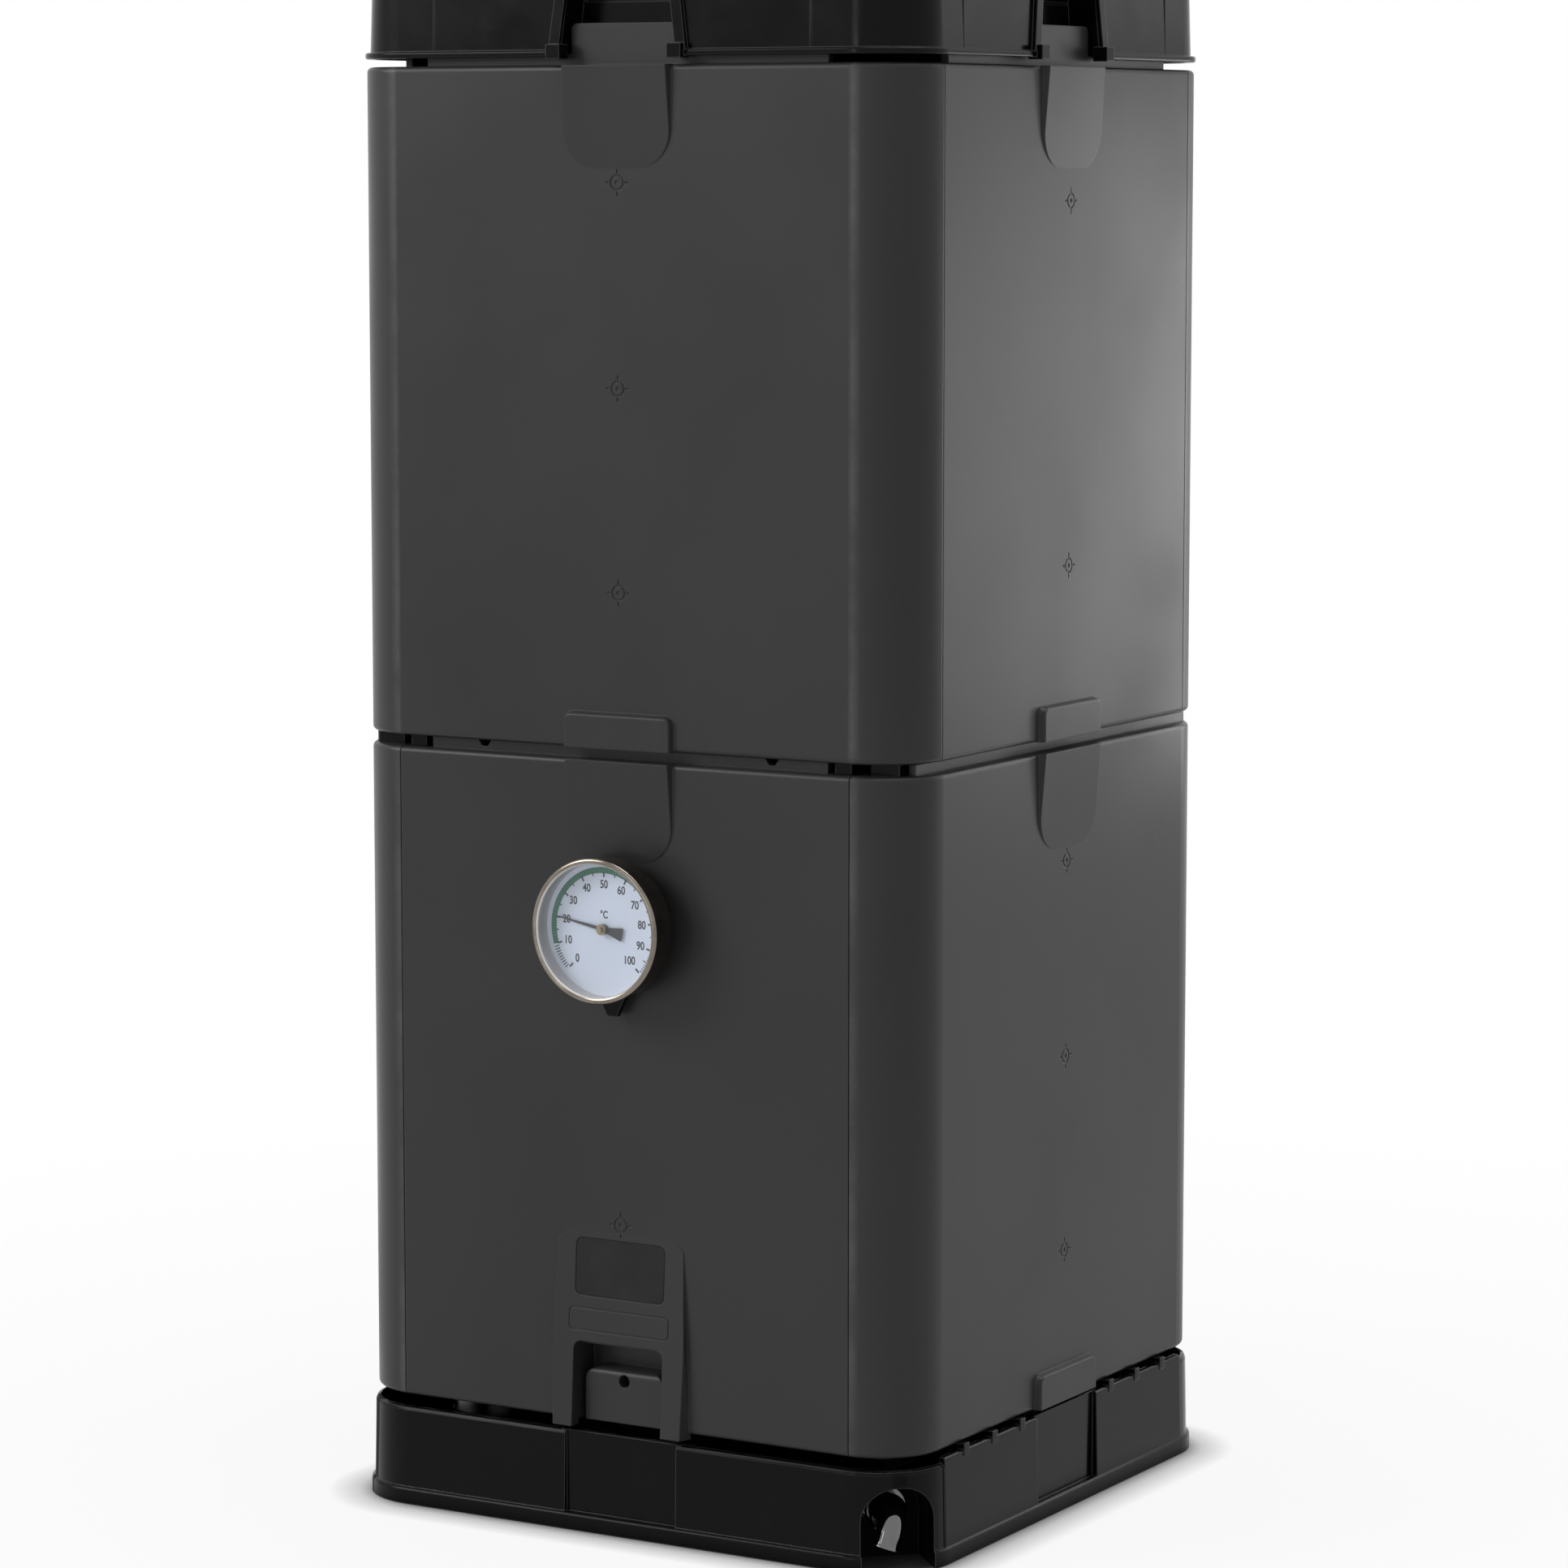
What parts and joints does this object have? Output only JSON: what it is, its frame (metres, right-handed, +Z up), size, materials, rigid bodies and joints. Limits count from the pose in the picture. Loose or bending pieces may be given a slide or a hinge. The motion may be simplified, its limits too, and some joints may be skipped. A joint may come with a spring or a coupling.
{
  "type": "compost bin",
  "caption": "Tall square insulated compost bin with a hinged lid, tiered foam panels, tilting access doors, a dial thermometer, a slotted air core and a corner drain tap.",
  "frame": {"origin": "centre of the square base on the floor", "axes": "+Z up, -Y towards the door that carries the thermometer, +X to the right of someone facing it"},
  "size_m": [0.513, 0.5466, 1.256],
  "materials": {
    "panel_plastic": "satin dark grey moulding",
    "black_plastic": "glossy black moulding",
    "liner_plastic": "matt dark grey sheet",
    "foam": "pale closed-cell foam",
    "steel": "plain",
    "polished_steel": "polished",
    "dial_face": "pale blue-white print",
    "lens": "clear",
    "brass": "plain",
    "pointer_black": "satin black",
    "seal_rubber": "matt"
  },
  "bodies": {
    "bin": {"base_shell": "black_plastic", "drain_grate": "black_plastic", "aeration_core": "black_plastic", "aeration_core_cap": "black_plastic", "tap_body": "black_plastic", "tap_seal": "seal_rubber", "tap_nut": "black_plastic", "lower_right_shell": "panel_plastic", "lower_right_insulation": "foam", "lower_right_liner": "liner_plastic", "lower_left_shell": "panel_plastic", "lower_left_insulation": "foam", "lower_left_liner": "liner_plastic", "upper_front_shell": "panel_plastic", "upper_front_insulation": "foam", "upper_front_liner": "liner_plastic", "upper_back_shell": "panel_plastic", "upper_back_insulation": "foam", "upper_back_liner": "liner_plastic", "upper_right_shell": "panel_plastic", "upper_right_insulation": "foam", "upper_right_liner": "liner_plastic", "upper_left_shell": "panel_plastic", "upper_left_insulation": "foam", "upper_left_liner": "liner_plastic", "tier_spacers": "black_plastic", "lid_hinge_bracket": "black_plastic", "lid_hinge_pins": "steel"},
    "lid": {"lid_shell": "black_plastic", "lid_liner": "liner_plastic", "lid_insulation": "foam", "lid_liner_screws": "steel"},
    "front_door": {"front_door_shell": "panel_plastic", "front_door_insulation": "foam", "front_door_liner": "liner_plastic", "thermometer_case": "polished_steel", "thermometer_dial": "dial_face", "thermometer_lens": "lens", "thermometer_stem": "polished_steel", "thermometer_bush": "brass", "thermometer_bracket": "black_plastic"},
    "back_door": {"back_door_shell": "panel_plastic", "back_door_insulation": "foam", "back_door_liner": "liner_plastic"},
    "thermometer_pointer": {"thermometer_pointer": "pointer_black"},
    "tap_spout": {"tap_spout": "black_plastic"}
  },
  "joints": [
    {"name": "lid_hinge", "type": "hinge", "parent": "bin", "child": "lid", "pos_m": [0, 0.25, 1.127], "axis": [-1, 0, 0], "range_deg": [0, 105]},
    {"name": "front_door_tilt", "type": "hinge", "parent": "bin", "child": "front_door", "pos_m": [0, -0.245, 0.601], "axis": [-1, 0, 0], "range_deg": [0, 30]},
    {"name": "back_door_tilt", "type": "hinge", "parent": "bin", "child": "back_door", "pos_m": [0, 0.245, 0.601], "axis": [1, 0, 0], "range_deg": [0, 30]},
    {"name": "thermometer_needle", "type": "hinge", "parent": "front_door", "child": "thermometer_pointer", "pos_m": [0, -0.27, 0.472], "axis": [0, 1, 0], "range_deg": [-55.35, 214.65]},
    {"name": "tap_spout_turn", "type": "hinge", "parent": "bin", "child": "tap_spout", "pos_m": [0.21213, -0.21213, 0.038], "axis": [0.7071, -0.7071, 0], "range_deg": [-25, 37]}
  ]
}
